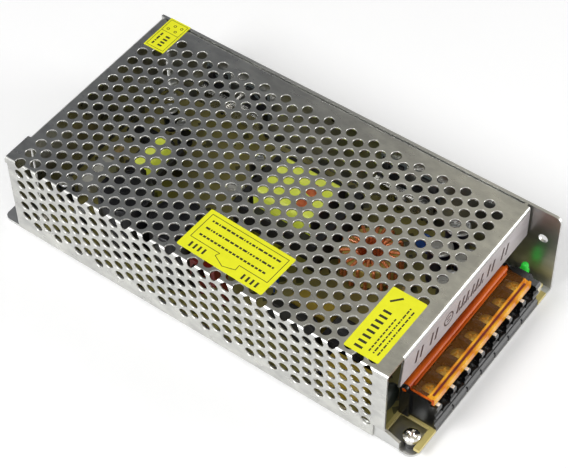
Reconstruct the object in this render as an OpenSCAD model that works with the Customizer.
// Open-frame switching power supply in a folded chassis with a perforated cover.
// Origin: centre of the chassis underside. +X to the terminals, +Y to the solid wall, +Z up.

/* [Case] */
// Overall length, from the mounting ear to the front edge of the circuit board
case_length = 199; // [197:1:205]
// Overall width, over the mesh side and the solid wall
case_width = 98; // [97:1:104]
// Height of the case
case_height = 42; // [41:1:48]
// Thickness of the chassis sheet
chassis_sheet = 1.2; // [1:0.1:1.5]
// Thickness of the cover sheet
cover_sheet = 0.8; // [0.6:0.1:1]
// Outer radius of the folds in both sheets
fold_radius = 1.6; // [1.6:0.1:2]
// Length of the mounting ear past the cover
ear_length = 8; // [7.5:0.5:10]
// Length of the open shelf that carries the terminals
shelf_length = 12.5; // [12:0.5:13]
// Height of the chassis lip behind the mesh side
lip_height = 8; // [6:0.5:9]
// Radius of the corners of the chassis base
base_corner = 4; // [2:0.5:5]
// Gap between the cover and the chassis
fit_gap = 0.1; // [0.1:0.05:0.2]

/* [Mesh] */
// Diameter of one mesh hole
mesh_hole = 4.2; // [3.6:0.1:4.4]
// Distance between the columns of holes
column_pitch = 5.24; // [5.1:0.02:5.6]
// Distance between the holes of a column
row_pitch = 6.2; // [6:0.1:6.6]
// Distance from the cover's left edge to the first column
mesh_start = 6.8; // [6:0.2:8]
// Smallest distance from the last column to the cover's right edge
mesh_end_margin = 8; // [7:0.5:12]
// Smallest distance from the last row to the back and bottom edges of the cover
mesh_edge_margin = 8; // [7:0.5:10]
// Distance from the mesh side's face to the row of holes on the fold
fold_row = 1.5; // [1.4:0.1:1.6]

/* [Label flap] */
// Height of the flap above the terminals, down from the top of the cover
flap_height = 15.7; // [12:0.1:16]
// Distance from the mesh side to the flap's upper corner
flap_start = 10.7; // [10:0.5:14]
// How far the flap's lower corner reaches out past the upper one
flap_slant = 2.1; // [0:0.1:3]

/* [Mounting] */
// Diameter of the mounting holes in the wall
wall_hole = 4; // [3.5:0.1:4.5]
// Distance between the two wall holes
wall_hole_span = 180; // [170:1:180]
// Distance from the chassis's right end to the first wall hole
wall_hole_inset = 6.2; // [6:0.1:8]
// Height of the wall holes above the underside
wall_hole_height = 27.3; // [24:0.1:28]
// Width of the slots in the ear
slot_width = 4.2; // [3.5:0.1:4.5]
// End-to-end length of the slots in the ear
slot_length = 8; // [6:0.5:12]
// Distance between the two slots
slot_span = 60; // [40:1:70]

/* [Circuit board] */
// Thickness of the board
board_thickness = 1.6; // [1.2:0.1:2]
// Height of the spacers under the board
spacer_height = 2.2; // [2:0.1:3.2]
// Outer diameter of the spacers
spacer_diameter = 6; // [5.6:0.1:7]
// Diameter of the board screws
board_screw = 2.9; // [2.5:0.1:3]
// How far the board stands out past the chassis
board_overhang = 1; // [0.5:0.1:1.5]
// Gap between the board and the sheets around it
board_gap = 0.5; // [0.3:0.1:0.8]
// Gap between the board and the solid wall
wall_gap = 2.4; // [2:0.1:3]
// Thickness of the insulation sheet under the board
insulation_thickness = 0.3; // [0.2:0.1:0.5]
// Width of the tongue of board beside the corner screw
tongue_width = 2.5; // [2:0.1:3]
// Depth of the notch for the corner screw
notch_depth = 10.4; // [10:0.1:10.8]
// Size of the step in the corner between the terminals and the wall
corner_step = 3.3; // [2.5:0.1:4]

/* [Terminal block] */
// Number of wire positions
terminal_count = 7; // [5:1:7]
// Thickness of the partitions
partition = 2; // [1.6:0.1:2.2]
// Thickness of the two end walls
end_wall = 3.1; // [2.6:0.1:3.4]
// Depth of the block from back to front
block_depth = 15.4; // [15:0.1:16]
// Distance from the board's front edge to the block
block_inset = 11.2; // [11:0.1:12]
// Distance from the block to the board's back edge
block_margin = 9.2; // [9:0.1:10]
// Height of the partitions above the board
block_height = 14.4; // [14:0.1:15]
// Height of the contact strips above the board
contact_height = 7.2; // [6.8:0.1:7.4]
// Thickness of a contact strip
contact_thickness = 0.8; // [0.6:0.1:1]
// Thickness of a wire clamp
clamp_thickness = 1.2; // [1:0.1:1.4]
// Diameter of a terminal screw
terminal_screw = 3.4; // [3:0.1:3.8]
// Space around its head
terminal_head_gap = 0.6; // [0.4:0.1:0.8]

/* [Terminal cover] */
// Distance from the cover's far end to the end of the block
lid_margin = 4.6; // [3.6:0.1:5]
// Thickness of its clear window
lid_thickness = 1.2; // [1:0.1:1.4]
// Diameter of the hinge barrel along its back edge
barrel_diameter = 3.4; // [3:0.1:3.6]
// Diameter of its hinge pins
hinge_pin = 1.8; // [1.4:0.1:2]
// Running gap around a pin
running_gap = 0.05; // [0.02:0.01:0.1]
// Gap between the closed cover and the block
lid_gap = 0.4; // [0.3:0.1:0.5]

/* [Main transformer] */
// Length of the core
core_length = 40; // [38:1:41]
// Width of the core
core_width = 33; // [31:1:34]
// Thickness of the core and of its middle leg
core_thickness = 11; // [10:0.5:12]
// Width of the taped winding
winding_width = 22; // [20:0.5:22]
// Height of the taped winding
winding_height = 24; // [20:0.5:24]

/* [Output choke] */
// Outer diameter of the ring core
ring_outer = 23; // [21:0.5:24]
// Inner diameter of the ring core
ring_inner = 13; // [12:0.5:14]
// Height of the ring core
ring_height = 10; // [8:0.5:12]
// Diameter of the copper wire
wire_diameter = 1.3; // [1:0.1:1.4]
// Number of turns
turn_count = 24; // [12:1:24]

/* [Capacitors] */
// Diameter of the two bulk capacitors
bulk_diameter = 22; // [18:0.5:22]
// Height of the two bulk capacitors
bulk_height = 30; // [25:0.5:31]
// Diameter of the output capacitors
output_diameter = 10; // [8:0.5:11]
// Height of the output capacitors
output_height = 20; // [16:0.5:25]

/* [Selector switch and trimmer] */
// Width of the selector switch
switch_width = 12; // [11:0.5:13]
// Height of the selector switch above the board
switch_height = 26; // [24:0.5:28]
// Travel of the selector slider
slider_travel = 4; // [3:0.5:4]
// Width of the voltage trimmer
trimmer_width = 5.6; // [5.4:0.1:6]
// Diameter of the trimmer's rotor
rotor_diameter = 4.4; // [4:0.1:4.6]

/* [Hidden] */
$fn = 32;
eps = 0.01;

// Faces of the case
chassis_left = -case_length / 2;
chassis_right = case_length / 2 - board_overhang;
cover_left = chassis_left + ear_length;
cover_right = chassis_right - shelf_length;
wall_face = case_width / 2;
wall_inside = wall_face - chassis_sheet;
cover_front = -case_width / 2;
cover_inside = cover_front + cover_sheet;
cover_under = case_height - cover_sheet;
cover_back = wall_inside - fit_gap;
lip_front = cover_inside + fit_gap;
lip_inside = lip_front + chassis_sheet;
lip_start = cover_left + fold_radius;
lip_end = cover_right + 6;
side_bottom = fold_radius + fit_gap;

// Cuts in the cover
flap_fold_step = 0.4;
corner_tab = 14;
foot_gap = 0.9;
side_notch = [5, 9];
lip_drop = 2.5;
hem_height = 9;
hem_inset = 3;
cover_screw_span = 68;

// Mesh lattice
column_count = floor((cover_right - cover_left - mesh_start - mesh_end_margin) / column_pitch) + 1;
row_depth = cover_back - cover_front - fold_row - mesh_edge_margin;
side_depth = case_height - side_bottom - mesh_edge_margin + 1;
side_shift = 0.9;
fold_tilt = 20;

// Faces of the board
board_left = cover_left + cover_sheet + 2.2;
board_right = case_length / 2;
board_front = lip_inside + board_gap;
board_back = wall_inside - wall_gap;
board_bottom = chassis_sheet + spacer_height;
board_top = board_bottom + board_thickness;
screw_gap = 0.1;
thread_gap = 0.05;

// Places on the board: from an edge, or as shares of its length and width
board_length = board_right - board_left;
board_width = board_back - board_front;
function at(u, v) = [board_left + u * board_length, board_front + v * board_width];
function from_left(d) = board_left + d;
function from_right(d) = board_right - d;
function from_front(d) = board_front + d;
function from_back(d) = board_back - d;
corner_at = [from_right(5.6), from_front(3.4)];
spacer_places = [
    [from_left(5), from_front(5)], [from_left(5), from_back(5)], [from_right(24), from_back(5)],
    at(0.5, 0.86), [at(0.734, 0)[0], from_front(5)]
];
transformer_at = at(0.4867, 0.647);
choke_at = at(0.6729, 0.647);
driver_at = at(0.1665, 0.463);
filter_at = at(0.7872, 0.196);
bulk_places = [at(0.2207, 0.1743), at(0.3537, 0.1743)];
selector_at = [at(0.4548, 0)[0], from_front(6.4)];
bridge_at = at(0.6569, 0.135);
fuse_at = at(0.8245, 0.349);
thermistor_at = [from_right(19.5), from_front(8.4)];
trimmer_at = [from_right(5.5), from_back(6.2)];
lamp_at = [from_right(10.9), from_back(2.1)];
output_places = [at(0.8005, 0.9), at(0.8617, 0.775), at(0.8005, 0.765), at(0.8617, 0.64)];

// Devices on the wall
pad_thickness = 0.3;
device_tab = 1.3;
device_body = 4.4;
device_width = 10;
device_height = 15.5;
lead_height = 7;
bar_thickness = 3;
bar_height = 8;
bar_screw = 3;
transistor_places = [at(0.1383, 0)[0], at(0.2447, 0)[0]];
rectifier_places = [at(0.601, 0)[0], at(0.6862, 0)[0]];
device_front = wall_inside - pad_thickness - device_body;
device_base = board_top + lead_height;
bar_level = device_base + 4.5;

// Terminal block
block_back = from_right(0.2) - block_depth;
block_start = board_front + block_inset;
block_end = board_back - block_margin;
block_length = block_end - block_start;
terminal_pitch = (block_length - 2 * end_wall + partition) / terminal_count;
bay_width = terminal_pitch - partition;
terminal_head = bay_width - 2 * terminal_head_gap;
skirt_thickness = 1;
skirt_drop = board_thickness + 0.2;
ledge_height = 2;
ledge_step = 0.9;
contact_top = contact_height + contact_thickness;
screw_reach = block_depth / 2 + 0.1;
shelf_edge = block_height - 1.6;
nub_height = block_height - 1.7;
rear_height = block_height - 1.2;
barrel_radius = barrel_diameter / 2;
hinge_x = block_back + barrel_radius + 0.1;
hinge_z = board_top + rear_height + barrel_radius + lid_gap + 0.1;
window_top = 0.6;
window_bottom = window_top - lid_thickness;
lid_start = block_start + 0.3;
lid_end = block_end - lid_margin;
lid_reach = block_depth - barrel_radius - 1.8;
lid_lip = 1.2;
ear_width = 1.4;
ear_depth = 4.3;

// Labels
label_thickness = 0.15;
selector_label_size = [40, 20.6];
caution_label_size = [14.8, 31.7];
seal_label_size = [10, 18.2];
seal_fold = 7;

// ---------- shared forms ----------

// Corner piece to take away so that a square corner becomes round
module corner_cut(radius) {
    difference() {
        translate([-1, -1]) square(radius + 1);
        translate([radius, radius]) circle(radius);
    }
}

// Rectangle with four round corners, centred
module round_rect(size, radius) {
    difference() {
        square(size, center = true);
        for (a = [0, 1], b = [0, 1])
            mirror([a, 0]) mirror([0, b]) translate([-size[0] / 2, -size[1] / 2]) corner_cut(radius);
    }
}

// Block with round upright edges, standing on z = 0
module round_block(size, radius) {
    linear_extrude(size[2]) round_rect([size[0], size[1]], radius);
}

// Quarter ring, the section of a fold, in the first quadrant
module fold_section(sheet) {
    intersection() {
        difference() {
            circle(fold_radius);
            circle(fold_radius - sheet);
        }
        square(fold_radius);
    }
}

// Sweeps a section drawn in Y and Z along X
module sweep_x(start, end) {
    translate([start, 0, 0]) rotate([90, 0, 90]) linear_extrude(end - start) children();
}

// Sweeps a section drawn in X and Z along Y
module sweep_y(start, end) {
    translate([0, end, 0]) rotate([90, 0, 0]) linear_extrude(end - start) children();
}

// Round slot along Y, centred
module slot_shape(width, length) {
    square([width, length - width], center = true);
    for (s = [-1, 1]) translate([0, s * (length - width) / 2]) circle(d = width);
}

// Pan head with a cross recess; its seat is at z = 0
module pan_head(diameter, height) {
    difference() {
        rotate_extrude() intersection() {
            square([diameter / 2, height]);
            translate([0, height - diameter * 0.75]) circle(diameter * 0.75, $fn = 64);
        }
        for (a = [0, 90]) rotate(a)
            translate([-diameter * 0.3, -diameter * 0.07, height * 0.45])
                cube([diameter * 0.6, diameter * 0.14, height]);
    }
}

// Screw with its head seated on z = 0 and its shank below
module pan_screw(diameter, length, head, height) {
    pan_head(head, height);
    translate([0, 0, -length]) cylinder(d = diameter, h = length + eps);
}

// Round wire from point a to point b along one axis
module lead(a, b, diameter) {
    v = b - a;
    translate(a) rotate([0, acos(v[2] / norm(v)), atan2(v[1], v[0])])
        cylinder(d = diameter, h = norm(v), $fn = 16);
}

// ---------- case ----------

module base_outline() {
    left = chassis_left;
    right = chassis_right;
    difference() {
        translate([left, lip_front]) square([right - left, wall_face - lip_front]);
        translate([left, lip_front]) corner_cut(base_corner - 1);
        translate([left, wall_face]) mirror([0, 1]) corner_cut(base_corner - 1);
        translate([right, lip_front]) mirror([1, 0]) corner_cut(base_corner);
        translate([cover_left, wall_face - fold_radius]) square([right - cover_left + 1, fold_radius + 1]);
        translate([lip_start, lip_front - 1]) square([lip_end - lip_start, fold_radius + 1]);
        for (s = [-1, 1]) translate([left + ear_length / 2, s * slot_span / 2]) slot_shape(slot_width, slot_length);
    }
}

module wall_outline() {
    difference() {
        translate([cover_left, fold_radius]) square([chassis_right - cover_left, case_height - fold_radius]);
        translate([chassis_right, case_height]) rotate(180) corner_cut(2.5);
        for (x = [0, wall_hole_span]) translate([chassis_right - wall_hole_inset - x, wall_hole_height])
            circle(d = wall_hole);
        for (x = bar_centres()) translate([x, bar_level]) circle(d = bar_screw + 2 * thread_gap);
    }
}

function mean(v) = (v[0] + v[1]) / 2;
function bar_centres() = [mean(transistor_places), mean(rectifier_places)];
function cover_screw_places() = [for (i = [-1:1]) (cover_left + cover_right) / 2 + i * cover_screw_span];
function cover_screw_level() = case_height - hem_height / 2 - 1;

module chassis() color([0.74, 0.74, 0.73]) {
    linear_extrude(chassis_sheet) base_outline();
    sweep_x(cover_left, chassis_right) translate([wall_face - fold_radius, fold_radius])
        rotate(-90) fold_section(chassis_sheet);
    difference() {
        sweep_y(wall_inside, wall_face) wall_outline();
        for (x = cover_screw_places()) translate([x, wall_face + eps, cover_screw_level()]) rotate([90, 0, 0])
            cylinder(r1 = 2.8, r2 = 1.6, h = chassis_sheet + 2 * eps);
    }
    sweep_x(lip_start, lip_end) translate([lip_front + fold_radius, fold_radius])
        rotate(180) fold_section(chassis_sheet);
    sweep_y(lip_front, lip_inside) polygon([
        [lip_start, fold_radius], [lip_end, fold_radius],
        [lip_end, lip_height - 2.8], [cover_right - 1, lip_height],
        [cover_right - side_notch[0] - 5, lip_height],
        [cover_right - side_notch[0] - 7, lip_height - lip_drop], [lip_start, lip_height - lip_drop]
    ]);
}

function column_x(i) = cover_left + mesh_start + i * column_pitch;
function is_odd(i) = i % 2 == 1;

// Circles of the mesh in the top: row 0 of the even columns lies on the fold
module top_holes() {
    for (i = [0:column_count - 1]) {
        first = is_odd(i) ? 0.5 : 1;
        for (j = [first:floor(row_depth / row_pitch - first) + first])
            translate([column_x(i), cover_front + fold_row + j * row_pitch]) circle(d = mesh_hole, $fn = 24);
    }
}

// Circles of the mesh in the long side, counted down from the fold
module side_holes() {
    for (i = [0:column_count - 1]) {
        first = is_odd(i) ? 0.5 : 1;
        for (k = [first:floor((side_depth + side_shift) / row_pitch - first) + first])
            translate([column_x(i), case_height + side_shift - k * row_pitch])
                circle(d = mesh_hole, $fn = 24);
    }
}

// Reach of the fold strip along the top and down the side, short of the next full rows
strip_top = fold_row + mesh_hole / 2 + 0.4;
strip_side = fold_radius + 1;

module top_outline() {
    left_fold = cover_left + flap_fold_step + fold_radius;
    difference() {
        translate([cover_left, cover_front + strip_top])
            square([cover_right - cover_left, cover_back - cover_front - strip_top]);
        translate([cover_left - 1, cover_front + corner_tab])
            square([left_fold - cover_left + 1, case_width]);
        translate([cover_right - fold_radius, cover_front + flap_start]) square([fold_radius + 1, case_width]);
        translate([cover_left + hem_inset, cover_back - fold_radius])
            square([cover_right - cover_left - 2 * hem_inset, fold_radius + 1]);
        top_holes();
    }
}

module side_outline() {
    difference() {
        translate([cover_left + fold_radius, side_bottom])
            square([cover_right - cover_left - fold_radius, case_height - strip_side - side_bottom]);
        translate([cover_right - side_notch[0], -1]) square([side_notch[0] + 1, side_notch[1] + 1]);
        side_holes();
    }
}

// Strip of the cover along its long fold, with the holes that cross the fold
module fold_strip() {
    difference() {
        sweep_x(cover_left, cover_right) {
            translate([cover_front + fold_radius, case_height - fold_radius]) rotate(90) fold_section(cover_sheet);
            translate([cover_front + fold_radius, cover_under]) square([strip_top - fold_radius, cover_sheet]);
            translate([cover_front, case_height - strip_side]) square([cover_sheet, strip_side - fold_radius]);
        }
        for (i = [0:column_count - 1]) translate([column_x(i), cover_front, case_height]) {
            if (is_odd(i)) {
                translate([0, fold_row + row_pitch / 2, -2]) cylinder(d = mesh_hole, h = 4, $fn = 24);
                translate([0, 2, side_shift - row_pitch / 2]) rotate([90, 0, 0])
                    cylinder(d = mesh_hole, h = 4, $fn = 24);
            } else translate([0, fold_radius, 0]) rotate([fold_tilt, 0, 0]) translate([0, 0, -2.6])
                cylinder(d = mesh_hole, h = 5, $fn = 24);
        }
    }
}

module mesh_cover() color([0.7, 0.7, 0.72]) {
    flap_front = cover_front + flap_start;
    fold_level = case_height - fold_radius;
    left_face = cover_left + flap_fold_step;
    tab_end = cover_front + corner_tab - 0.6;
    flap_bottom = case_height - flap_height;
    translate([0, 0, cover_under]) linear_extrude(cover_sheet) top_outline();
    fold_strip();
    sweep_y(cover_front, cover_inside) side_outline();
    // corner tab turned round from the long side
    translate([cover_left + fold_radius, cover_front + fold_radius, side_bottom])
        linear_extrude(case_height - strip_side - side_bottom) rotate(180) fold_section(cover_sheet);
    sweep_x(cover_left, cover_left + cover_sheet) translate([cover_front + fold_radius, side_bottom])
        square([tab_end - cover_front - fold_radius, case_height - strip_side - side_bottom]);
    // plain end flap
    sweep_y(cover_front + corner_tab, cover_back - foot_gap) translate([left_face + fold_radius, fold_level])
        rotate(90) fold_section(cover_sheet);
    translate([left_face, cover_front + corner_tab, chassis_sheet + foot_gap])
        cube([cover_sheet, cover_back - foot_gap - cover_front - corner_tab, fold_level - chassis_sheet - foot_gap]);
    // label flap over the terminals
    sweep_y(flap_front, cover_back - foot_gap) translate([cover_right - fold_radius, fold_level])
        fold_section(cover_sheet);
    sweep_x(cover_right - cover_sheet, cover_right) polygon([
        [flap_front, fold_level], [flap_front - flap_slant, flap_bottom],
        [cover_back - foot_gap, flap_bottom], [cover_back - foot_gap, fold_level]
    ]);
    // hem screwed to the wall
    sweep_x(cover_left + hem_inset, cover_right - hem_inset)
        translate([cover_back - fold_radius, fold_level]) fold_section(cover_sheet);
    difference() {
        translate([cover_left + hem_inset, cover_back - cover_sheet, case_height - hem_height])
            cube([cover_right - cover_left - 2 * hem_inset, cover_sheet, hem_height - fold_radius]);
        for (x = cover_screw_places()) translate([x, cover_back + 1, cover_screw_level()]) rotate([90, 0, 0])
            cylinder(d = board_screw + 2 * thread_gap - 0.4, h = 3);
    }
}

module cover_screws() color([0.8, 0.8, 0.8]) {
    for (x = cover_screw_places()) translate([x, wall_face - 0.05, cover_screw_level()]) rotate([90, 0, 0]) {
        difference() {
            cylinder(r1 = 2.7, r2 = 1.5, h = chassis_sheet - 0.1);
            for (a = [0, 90]) rotate(a) translate([-1.5, -0.3, -eps]) cube([3, 0.6, 0.8]);
        }
        cylinder(d = board_screw - 0.4, h = 4);
    }
}

module insulation_sheet() color([0.93, 0.93, 0.86]) {
    translate([0, 0, chassis_sheet]) linear_extrude(insulation_thickness) difference() {
        translate([board_left + 1, board_front + 1])
            square([board_right - board_left - board_overhang - 7, board_back - board_front - 2]);
        for (p = spacer_places) translate(p) circle(d = spacer_diameter + 1);
        translate([corner_at[0] - 11, board_front]) square([20, notch_depth + 2]);
    }
}

module board_spacers() color([0.85, 0.85, 0.86]) {
    for (p = spacer_places) translate([p[0], p[1], chassis_sheet]) difference() {
        cylinder(d = spacer_diameter, h = spacer_height);
        translate([0, 0, -1]) cylinder(d = board_screw + 2 * thread_gap, h = spacer_height + 2);
    }
    translate([corner_at[0], corner_at[1], chassis_sheet]) difference() {
        cylinder(d = spacer_diameter - 0.4, h = spacer_height + 1);
        translate([0, 0, -1]) cylinder(d = board_screw + 2 * thread_gap, h = spacer_height + 3);
    }
}

module circuit_board() color([0.62, 0.58, 0.25]) {
    translate([0, 0, board_bottom]) linear_extrude(board_thickness) difference() {
        translate([board_left, board_front]) square([board_right - board_left, board_back - board_front]);
        translate([corner_at[0] - 9, board_front - 1])
            square([board_right - tongue_width - corner_at[0] + 9, notch_depth + 1]);
        translate([board_right - corner_step, board_back - corner_step]) square(corner_step + 1);
        translate([block_back + block_depth - skirt_thickness - 0.1, block_start - 0.1])
            square([skirt_thickness + 2, block_length + 0.2]);
        for (p = spacer_places) translate(p) circle(d = board_screw + 2 * screw_gap);
    }
}

module board_screws() color([0.8, 0.8, 0.8]) {
    for (p = spacer_places) translate([p[0], p[1], board_top])
        pan_screw(board_screw, board_thickness + spacer_height - 0.2, 5.6, 2);
}

module corner_screw() color([0.88, 0.88, 0.88]) {
    translate([corner_at[0], corner_at[1], chassis_sheet + spacer_height + 1]) {
        translate([0, 0, 0.8]) pan_screw(board_screw, spacer_height + 1.6, 6.6, 2.4);
        difference() {
            cylinder(d = 6.2, h = 0.8 + eps);
            translate([2, -0.3, -1]) cube([3, 0.6, 1.6]);
        }
    }
}

// ---------- terminals ----------

function bay_y(i) = block_start + end_wall + bay_width / 2 + i * terminal_pitch;
function wall_y(i) = bay_y(i) - terminal_pitch / 2;

module block_outline() {
    polygon([
        [0, 0], [block_depth - skirt_thickness, 0], [block_depth - skirt_thickness, -skirt_drop],
        [block_depth, -skirt_drop], [block_depth, ledge_height - ledge_step], [block_depth - ledge_step, ledge_height],
        [block_depth - ledge_step, 5.6], [block_depth, 5.6 + ledge_step],
        [block_depth, nub_height - 0.5], [block_depth - 0.5, nub_height],
        [block_depth - 3.3, nub_height], [block_depth - 4.1, block_height], [4.2, block_height],
        [3.8, rear_height], [0, rear_height]
    ]);
}

module terminal_housing() color([0.09, 0.09, 0.1]) {
    translate([block_back, 0, board_top]) difference() {
        union() {
            sweep_y(block_start, block_end) difference() {
                block_outline();
                translate([block_depth + 1.6, nub_height - 4.2]) circle(2.6);
            }
            translate([0, block_start - ear_width, 0]) hinge_ear();
            translate([0, lid_end + 0.3, 0]) hinge_ear();
        }
        for (i = [0:terminal_count - 1]) translate([0, bay_y(i), 0]) {
            translate([1.6, -bay_width / 2, contact_height]) cube([block_depth, bay_width, block_height]);
            translate([block_depth - 3.4, 0, contact_height - 1.6 + bay_width / 2]) rotate([0, 90, 0])
                cylinder(d = bay_width, h = 4);
            translate([screw_reach, 0, 1]) cylinder(d = terminal_screw + 2 * thread_gap, h = contact_height);
        }
        for (i = [1:terminal_count - 1]) translate([block_depth - 0.6, wall_y(i) - 0.4, -skirt_drop - 1])
            cube([1, 0.8, skirt_drop + ledge_height + 2]);
        translate([hinge_x - block_back, block_start - ear_width - 1, hinge_z - board_top]) rotate([-90, 0, 0])
            cylinder(d = hinge_pin + 2 * running_gap, h = block_length + 4);
    }
}

// Upright ear that carries one end of the hinge
module hinge_ear() {
    top = hinge_z - board_top;
    sweep_y(0, ear_width) {
        square([ear_depth, top]);
        translate([hinge_x - block_back, top]) circle(barrel_radius);
    }
}

module contact_strips() color([0.85, 0.84, 0.8]) {
    for (i = [0:terminal_count - 1]) translate([block_back, bay_y(i), board_top + contact_height]) difference() {
        translate([2, -bay_width / 2 + 0.2, 0]) cube([block_depth - 5.6, bay_width - 0.4, contact_thickness]);
        translate([screw_reach, 0, -1]) cylinder(d = terminal_screw + 2 * thread_gap, h = 3);
    }
}

module wire_clamps() color([0.86, 0.86, 0.85]) {
    width = bay_width - 0.6;
    for (i = [0:terminal_count - 1]) translate([block_back + screw_reach, bay_y(i), board_top + contact_top])
        difference() {
            sweep_y(-width / 2, width / 2) polygon([
                [-3.4, 0], [3.4, 0], [3.4, clamp_thickness - 0.4], [3, clamp_thickness],
                [-3, clamp_thickness], [-3.4, clamp_thickness - 0.4]
            ]);
            translate([0, 0, -1]) cylinder(d = terminal_screw + 2 * thread_gap, h = 4);
        }
}

module terminal_screws() color([0.88, 0.87, 0.82]) {
    level = board_top + contact_top + clamp_thickness;
    for (i = [0:terminal_count - 1]) translate([block_back + screw_reach, bay_y(i), level])
        rotate(25 * i) pan_screw(terminal_screw, contact_top + clamp_thickness - 2.4, terminal_head, 2.6);
}

module lid_outline() {
    circle(barrel_radius);
    difference() {
        polygon([
            [0, window_bottom], [lid_reach - lid_lip, window_bottom], [lid_reach - lid_lip, lip_bottom()],
            [lid_reach, lip_bottom()], [lid_reach, window_top + 0.6], [lid_reach - 0.8, window_top + 0.6],
            [lid_reach - lid_lip, window_top], [lid_reach - 2.2, window_top],
            [lid_reach - 2.4, window_top + 0.5], [lid_reach - 3, window_top + 0.5],
            [lid_reach - 3.2, window_top], [0, window_top]
        ]);
        circle(barrel_radius - 0.2);
    }
}

// Lower edge of the cover's front lip, measured from the hinge axis
function lip_bottom() = board_top + nub_height + lid_gap - hinge_z;

module terminal_cover() color([0.9, 0.35, 0.05, 0.6]) {
    translate([hinge_x, 0, hinge_z]) {
        sweep_y(lid_start, lid_end) lid_outline();
        translate([0, lid_start - 0.3 - ear_width, 0]) rotate([-90, 0, 0])
            cylinder(d = hinge_pin, h = lid_end - lid_start + 2 * (ear_width + 0.3));
        for (y = [lid_start, lid_end - 0.8]) translate([barrel_radius, y, window_top - eps])
            cube([lid_reach - barrel_radius - 3.2, 0.8, 0.5]);
    }
}

// ---------- wound parts ----------

// Ferrite core: a frame with a middle leg along X, centred
module frame_core(length, width, thickness, leg) {
    difference() {
        translate([0, 0, -thickness / 2]) round_block([length, width, thickness], 0.6);
        for (s = [-1, 1]) translate([0, s * (width / 2 - leg / 4) / 2, 0]) translate([0, s * leg / 8, 0])
            cube([length - leg, (width - 2 * leg) / 2 + leg / 4, 2 * thickness], center = true);
    }
}

// Bobbin: two flanges on the middle leg and a foot rail under each core end
module frame_bobbin(length, width, thickness, leg, height, drop) {
    inner = length - leg - 0.6;
    for (s = [-1, 1]) {
        translate([s * (inner / 2 - 0.5), 0, 0]) difference() {
            cube([1, width - leg - 0.8, height + 1.2], center = true);
            cube([3, leg + 0.3, thickness + 0.3], center = true);
        }
        translate([s * (length / 2 - leg / 4) - leg / 4, -width / 2 + 1.5, 0.6 - drop])
            cube([leg / 2, width - 3, drop - thickness / 2 - 0.6]);
        for (i = [-2:2]) translate([s * (length / 2 - leg / 4), i * width / 6, -drop]) cylinder(d = 0.8, h = 1, $fn = 16);
    }
}

// Taped winding round the middle leg, centred
module frame_winding(length, width, thickness, leg, tape_width, height) {
    inner = length - leg - 0.6 - 2.2;
    translate([-inner / 2, 0, 0]) rotate([90, 0, 90]) linear_extrude(inner) difference() {
        round_rect([tape_width, height], 2.5);
        square([leg + 0.3, thickness + 0.3], center = true);
    }
}

core_leg = core_thickness - 1;
transformer_drop = winding_height / 2 + 1;
driver_size = [24, 15, 5];
driver_leg = 4.4;
driver_tape = [7.4, 15];
driver_drop = 14.5;

module at_transformer() {
    translate([transformer_at[0], transformer_at[1], board_top + transformer_drop]) children();
}

module at_driver() {
    translate([driver_at[0], driver_at[1], board_top + driver_drop]) rotate(90) children();
}

module transformer_core() color([0.16, 0.16, 0.17]) at_transformer()
    frame_core(core_length, core_width, core_thickness, core_leg);

module transformer_bobbin() color([0.12, 0.11, 0.1]) at_transformer()
    frame_bobbin(core_length, core_width, core_thickness, core_leg, winding_height - 1.4, transformer_drop);

module transformer_winding() color([0.8, 0.9, 0.2]) at_transformer()
    frame_winding(core_length, core_width, core_thickness, core_leg, winding_width, winding_height);

module driver_core() color([0.16, 0.16, 0.17]) at_driver()
    frame_core(driver_size[0], driver_size[1], driver_size[2], driver_leg);

module driver_bobbin() color([0.12, 0.11, 0.1]) at_driver()
    frame_bobbin(driver_size[0], driver_size[1], driver_size[2], driver_leg, driver_tape[1] - 1.4, driver_drop);

module driver_winding() color([0.8, 0.9, 0.2]) at_driver()
    frame_winding(driver_size[0], driver_size[1], driver_size[2], driver_leg, driver_tape[0], driver_tape[1]);

wire_gap = 0.1;
turn_corner = 1;
choke_level = board_top + wire_diameter + wire_gap + 0.1;

module choke_core() color([0.85, 0.82, 0.5]) {
    translate([choke_at[0], choke_at[1], choke_level]) rotate_extrude()
        translate([(ring_outer + ring_inner) / 4, ring_height / 2])
            round_rect([(ring_outer - ring_inner) / 2, ring_height], 0.8);
}

// One closed turn of round wire round the ring's section, in X and Z
module wire_turn() {
    reach = wire_diameter / 2 + wire_gap;
    half_w = (ring_outer - ring_inner) / 4 + reach - turn_corner;
    half_h = ring_height / 2 + reach - turn_corner;
    for (s = [-1, 1]) {
        translate([s * (half_w + turn_corner), 0, -half_h]) cylinder(d = wire_diameter, h = 2 * half_h, $fn = 16);
        translate([-half_w, 0, s * (half_h + turn_corner)]) rotate([0, 90, 0])
            cylinder(d = wire_diameter, h = 2 * half_w, $fn = 16);
    }
    for (a = [0, 1], b = [0, 1]) mirror([a, 0, 0]) mirror([0, 0, b]) translate([half_w, 0, half_h])
        rotate([90, 0, 0]) rotate_extrude(angle = 90, $fn = 24) translate([turn_corner, 0])
            circle(d = wire_diameter, $fn = 16);
}

module choke_winding() color([0.72, 0.36, 0.16]) {
    translate([choke_at[0], choke_at[1], choke_level + ring_height / 2])
        for (i = [0:turn_count - 1]) rotate(360 * (i + 0.5) / turn_count)
            translate([(ring_outer + ring_inner) / 4, 0, 0]) wire_turn();
}

filter_size = [20, 5.4, 17];
filter_level = board_top + 3;

module filter_core() color([0.15, 0.15, 0.16]) {
    translate([filter_at[0], filter_at[1], filter_level + filter_size[2] / 2]) rotate([90, 0, 0])
        translate([0, 0, -filter_size[1] / 2]) linear_extrude(filter_size[1]) difference() {
            round_rect([filter_size[0], filter_size[2]], 0.8);
            square([filter_size[0] - 10.4, filter_size[2] - 8], center = true);
        }
}

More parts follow.
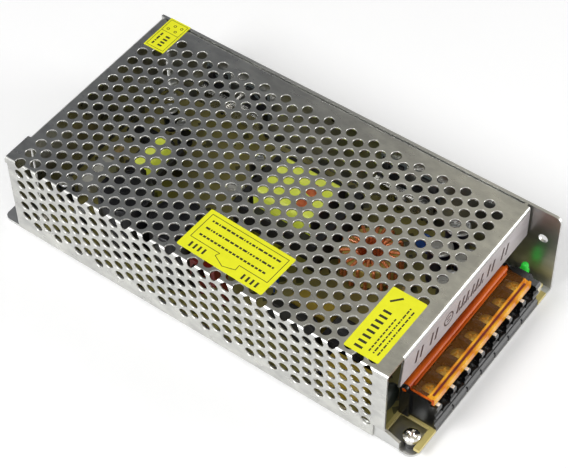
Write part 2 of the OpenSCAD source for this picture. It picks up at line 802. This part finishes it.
// Two copper drums on the legs of the filter core, with feet on the board
module filter_coils() color([0.74, 0.38, 0.18]) {
    inner = filter_size[2] - 8 - 0.4;
    for (s = [-1, 1]) translate([filter_at[0] + s * (filter_size[0] / 2 - 2.6), filter_at[1], filter_level + 4.2])
        difference() {
            union() {
                cylinder(d = 9.2, h = inner);
                for (z = [0, inner - 0.8]) translate([0, 0, z])
                    linear_extrude(0.8) round_rect([9.2, 12], 1);
                for (t = [-1, 1]) translate([-3, t * 4.6 - 1, -7.2]) cube([6, 2, 7.3]);
            }
            translate([0, 0, inner / 2]) cube([5.6, filter_size[1] + 0.3, 2 * inner], center = true);
        }
}

// ---------- capacitors ----------

// Upright can with a beaded skirt, a rounded rim and a scored top
module can(diameter, height) {
    r = diameter / 2;
    difference() {
        rotate_extrude() difference() {
            square([r, height]);
            translate([r + 0.5, 2.4]) circle(1.1);
            translate([r, height]) rotate(180) corner_cut(0.8);
            translate([0, height - 0.3]) square([r - 1.2, 1]);
        }
        for (a = [45, 135]) rotate(a) translate([-r * 0.6, -0.15, height - 0.5]) cube([r * 1.2, 0.3, 1]);
    }
}

module bulk_capacitors() color([0.12, 0.12, 0.14]) {
    for (p = bulk_places) translate([p[0], p[1], board_top]) can(bulk_diameter, bulk_height);
}

module output_capacitors() color([0.13, 0.12, 0.2]) {
    for (p = output_places) translate([p[0], p[1], board_top]) can(output_diameter, output_height);
}

small_places = [
    at(0.0372, 0.196), at(0.0851, 0.802), at(0.1383, 0.759), at(0.3298, 0.781), at(0.117, 0.1089)
];

module small_capacitors() color([0.1, 0.12, 0.16]) {
    for (p = small_places) translate([p[0], p[1], board_top]) can(6.3, 11.5);
}

suppression_places = [[at(0.8112, 0)[0], from_front(6.4)], at(0.6622, 0.2505)];

module suppression_capacitors() color([0.85, 0.72, 0.12]) {
    for (p = suppression_places) translate([p[0], p[1], board_top]) {
        translate([0, 0, 0.5]) round_block([18, 8, 14], 0.6);
        for (s = [-1, 1]) translate([s * 7, 0, 0]) cylinder(d = 5, h = 0.5);
    }
}

disc_places = [concat(at(0.7447, 0.84), 0), [from_right(17.8), at(0, 0.36)[1], 90], concat(at(0.5319, 0.305), 0)];

// Dipped disc on two leads
module disc(diameter, thickness) {
    r = diameter / 2;
    translate([0, 0, r + 2.5]) rotate([90, 0, 0]) rotate_extrude() difference() {
        translate([0, -thickness / 2]) square([r, thickness]);
        for (s = [0, 1]) mirror([0, s]) translate([r, thickness / 2]) rotate(180) corner_cut(thickness * 0.45);
    }
    for (s = [-1, 1]) lead([s * r * 0.55, 0, 0], [s * r * 0.55, 0, 3.5], 0.7);
}

module disc_capacitors() color([0.1, 0.25, 0.6]) {
    for (p = disc_places) translate([p[0], p[1], board_top]) rotate(p[2]) disc(9.5, 3.4);
}

module thermistor() color([0.1, 0.16, 0.12]) {
    translate([thermistor_at[0], thermistor_at[1], board_top]) rotate(90) disc(11, 4.4);
}

// ---------- semiconductors ----------

module bridge_rectifier() color([0.1, 0.1, 0.11]) {
    translate([bridge_at[0], bridge_at[1], board_top]) {
        sweep_y(-1.9, 1.9) polygon([[-11, 4], [11, 4], [11, 18], [7.5, 21.5], [-11, 21.5]]);
        for (i = [-1.5:1.5]) translate([i * 5.1 - 0.6, -0.5, 0]) cube([1.2, 1, 4.2]);
    }
}

// Device with its metal tab against the wall; drawn with its back on y = 0
module wall_device() {
    translate([-device_width / 2, -device_body, 0]) cube([device_width, device_body, 9]);
    difference() {
        translate([-device_width / 2, -device_tab, 9 - eps]) cube([device_width, device_tab, device_height - 9]);
        translate([0, 1, device_height - 3]) rotate([90, 0, 0]) cylinder(d = 3.6, h = 4);
    }
    for (i = [-1:1]) translate([i * 2.54 - 0.4, -2.8, -lead_height]) cube([0.8, 0.6, lead_height + eps]);
}

module devices(places) {
    for (x = places) translate([x, wall_inside - pad_thickness, device_base]) wall_device();
}

module power_transistors() color([0.13, 0.13, 0.14]) devices(transistor_places);

module output_rectifiers() color([0.13, 0.13, 0.14]) devices(rectifier_places);

module insulating_pads() color([0.55, 0.6, 0.62]) {
    for (x = concat(transistor_places, rectifier_places))
        translate([x - device_width / 2 - 1, wall_inside - pad_thickness, device_base - 1])
            cube([device_width + 2, pad_thickness, device_height + 2]);
}

module clamp_bars() color([0.8, 0.8, 0.8]) {
    for (p = [transistor_places, rectifier_places]) difference() {
        translate([mean(p), device_front, bar_level]) rotate([90, 0, 0])
            round_block([p[1] - p[0] + device_width + 2, bar_height, bar_thickness], 1.5);
        translate([mean(p), device_front + 1, bar_level]) rotate([90, 0, 0])
            cylinder(d = bar_screw + 2 * screw_gap, h = bar_thickness + 2);
    }
}

module clamp_screws() color([0.85, 0.85, 0.85]) {
    for (x = bar_centres()) translate([x, device_front - bar_thickness, bar_level]) rotate([90, 0, 0])
        pan_screw(bar_screw, bar_thickness + device_body + pad_thickness + chassis_sheet - 0.2, 5.6, 2.2);
}

// ---------- small parts ----------

fuse_length = 20;

module fuse_tube() color([0.85, 0.9, 0.9, 0.6]) {
    translate([fuse_at[0] - fuse_length / 2 + 5, fuse_at[1], board_top + 4]) rotate([0, 90, 0])
        difference() {
            cylinder(d = 5, h = fuse_length - 10);
            translate([0, 0, -1]) cylinder(d = 4, h = fuse_length);
        }
}

module fuse_caps() color([0.85, 0.85, 0.83]) {
    for (s = [-1, 1]) translate([fuse_at[0] + s * (fuse_length / 2 - 2.5), fuse_at[1], board_top]) {
        translate([-2.5, 0, 4]) rotate([0, 90, 0]) cylinder(d = 5.4, h = 5);
        translate([-2, -3, 0]) cube([4, 6, 2]);
    }
}

module ceramic_resistor() color([0.9, 0.9, 0.87]) {
    translate([at(0.0612, 0)[0], at(0, 0.3376)[1], board_top]) {
        translate([0, 0, 2]) round_block([6.4, 17, 6], 0.5);
        for (s = [-1, 1]) lead([0, s * 6, 0], [0, s * 6, 2.2], 0.9);
    }
}

resistor_places = [
    at(0.1117, 0.3267), at(0.1489, 0.2396), at(0.0426, 0.5414), at(0.234, 0.371), at(0.2553, 0.371),
    at(0.2766, 0.371), at(0.8404, 0.4684), at(0.8191, 0.4684), at(0.766, 0.6395)
];

// Axial resistor lying along Y with bent leads
module axial_resistor() {
    profile_r = 1.2;
    translate([0, -3.2, 2]) rotate([-90, 0, 0]) {
        cylinder(r = profile_r, h = 6.4);
        for (z = [0, 4.8]) translate([0, 0, z]) cylinder(r = profile_r + 0.25, h = 1.6);
    }
    for (s = [-1, 1]) {
        lead([0, s * 3.1, 2], [0, s * 4.6, 2], 0.6);
        translate([0, s * 4.6, 2]) sphere(d = 0.6, $fn = 16);
        lead([0, s * 4.6, 0], [0, s * 4.6, 2], 0.6);
    }
}

module resistors() color([0.72, 0.62, 0.42]) {
    for (p = resistor_places) translate([p[0], p[1], board_top]) axial_resistor();
}

// Dual in-line package with its row of pins along X
module dual_in_line(pairs) {
    length = pairs * 2.54 - 0.8;
    difference() {
        translate([-length / 2, -3.2, 1]) cube([length, 6.4, 3.3]);
        translate([-length / 2, 0, 3.8]) cylinder(r = 0.9, h = 1);
    }
    for (i = [0:pairs - 1], s = [-1, 1]) translate([(i - (pairs - 1) / 2) * 2.54, s * 3.5, 0]) {
        translate([-0.7, -0.3, 1.6]) cube([1.4, 0.6, 0.9]);
        translate([-0.3, -0.3, 0]) cube([0.6, 0.6, 1.7]);
    }
}

module control_chip() color([0.11, 0.11, 0.12]) {
    translate(concat(at(0.0745, 0.672), board_top)) dual_in_line(8);
}

module optocoupler() color([0.9, 0.9, 0.88]) {
    translate(concat(at(0.3191, 0.65), board_top)) rotate(90) dual_in_line(2);
}

switch_depth = 8;
switch_body = 9.6;
switch_leg = 1.4;
slider_size = [4, 4.6];
slider_level = switch_height - (switch_body + slider_size[1]) / 2;
slider_room = 0.3;

module selector_body() color([0.45, 0.06, 0.05]) {
    translate([selector_at[0], selector_at[1], board_top]) difference() {
        union() {
            translate([0, switch_depth / 2, switch_height - switch_body])
                round_block([switch_width, switch_depth, switch_body], 0.5);
            for (s = [-1, 1]) translate([s * (switch_width - switch_leg) / 2, switch_depth * 0.6, 0])
                translate([-switch_leg / 2, 0, 0]) cube([switch_leg, switch_depth * 0.35, switch_height - 1]);
        }
        translate([-slider_size[0] / 2 - slider_travel / 2 - slider_room, -1, slider_level - slider_room])
            cube([slider_size[0] + slider_travel + 2 * slider_room, 4, slider_size[1] + 2 * slider_room]);
    }
}

module selector_slider() color([0.08, 0.08, 0.09]) {
    translate([selector_at[0] - slider_travel / 2, selector_at[1], board_top + slider_level]) {
        translate([-slider_size[0] / 2, -1.6, 0]) cube([slider_size[0], 1.6 + 3 - slider_room, slider_size[1]]);
        for (x = [-1.2:0.8:1.2]) translate([x - 0.2, -1.9, 0.4]) cube([0.4, 0.4, slider_size[1] - 0.8]);
    }
}

trimmer_height = 4.6;
rotor_sink = 1.2;

module trimmer_body() color([0.9, 0.88, 0.8]) {
    translate([trimmer_at[0], trimmer_at[1], board_top]) difference() {
        round_block([trimmer_width + 1, trimmer_width, trimmer_height], 0.5);
        translate([0, 0, trimmer_height - rotor_sink]) cylinder(d = rotor_diameter + 0.6, h = 3);
        translate([0, 0, 0.8]) cylinder(d = 1.8 + 2 * running_gap, h = trimmer_height);
    }
}

module trimmer_rotor() color([0.95, 0.95, 0.92]) {
    translate([trimmer_at[0], trimmer_at[1], board_top + trimmer_height - rotor_sink + 0.3]) {
        difference() {
            cylinder(d = rotor_diameter, h = 1.6);
            for (a = [0, 90]) rotate(a) translate([-1.5, -0.3, 0.9]) cube([3, 0.6, 1]);
        }
        translate([0, 0, -2]) cylinder(d = 1.8, h = 2 + eps);
    }
}

lamp_height = 9.4;

module power_lamp() color([0.3, 0.9, 0.35]) {
    translate([lamp_at[0], lamp_at[1], board_top]) {
        for (s = [-1, 1]) translate([s * 1.27 - 0.25, -0.25, 0]) cube([0.5, 0.5, lamp_height - 4.7]);
        translate([0, 0, lamp_height - 4.8]) cylinder(d = 3.8, h = 1);
        translate([0, 0, lamp_height - 3.9]) cylinder(d = 3, h = 2.4);
        translate([0, 0, lamp_height - 1.5]) sphere(d = 3);
    }
}

// ---------- labels ----------

module seal_label() color([0.95, 0.95, 0.1]) {
    translate([cover_left + 4.3, 0, 0]) sweep_x(0, seal_label_size[0]) {
        translate([wall_face - seal_label_size[1], case_height]) square([seal_label_size[1], label_thickness]);
        translate([wall_face, case_height - seal_fold])
            square([label_thickness, seal_fold + label_thickness]);
    }
}

module flat_label(size, thickness) {
    linear_extrude(thickness) round_rect(size, 0.6);
}

module selector_label() color([0.95, 0.95, 0.1]) {
    translate([9.2, cover_front + 14.8, case_height]) rotate(-2.1) flat_label(selector_label_size, label_thickness);
}

module caution_label() color([0.95, 0.95, 0.1]) {
    translate([cover_right - 13.4, cover_front + 19, case_height]) flat_label(caution_label_size, label_thickness);
}

module terminal_label() color([0.86, 0.88, 0.93]) {
    bottom = case_height - flap_height + 0.3;
    top = case_height - fold_radius;
    sweep_x(cover_right, cover_right + label_thickness) polygon([
        [cover_front + flap_start + 0.4, top], [cover_front + flap_start - flap_slant + 0.4, bottom],
        [cover_back - foot_gap - 0.6, bottom], [cover_back - foot_gap - 0.6, top]
    ]);
}

chassis();
mesh_cover();
cover_screws();
insulation_sheet();
board_spacers();
circuit_board();
board_screws();
corner_screw();
terminal_housing();
contact_strips();
wire_clamps();
terminal_screws();
terminal_cover();
transformer_core();
transformer_bobbin();
transformer_winding();
driver_core();
driver_bobbin();
driver_winding();
choke_core();
choke_winding();
filter_core();
filter_coils();
bulk_capacitors();
output_capacitors();
small_capacitors();
suppression_capacitors();
disc_capacitors();
bridge_rectifier();
power_transistors();
output_rectifiers();
insulating_pads();
clamp_bars();
clamp_screws();
fuse_tube();
fuse_caps();
thermistor();
ceramic_resistor();
resistors();
control_chip();
optocoupler();
selector_body();
selector_slider();
trimmer_body();
trimmer_rotor();
power_lamp();
seal_label();
selector_label();
caution_label();
terminal_label();
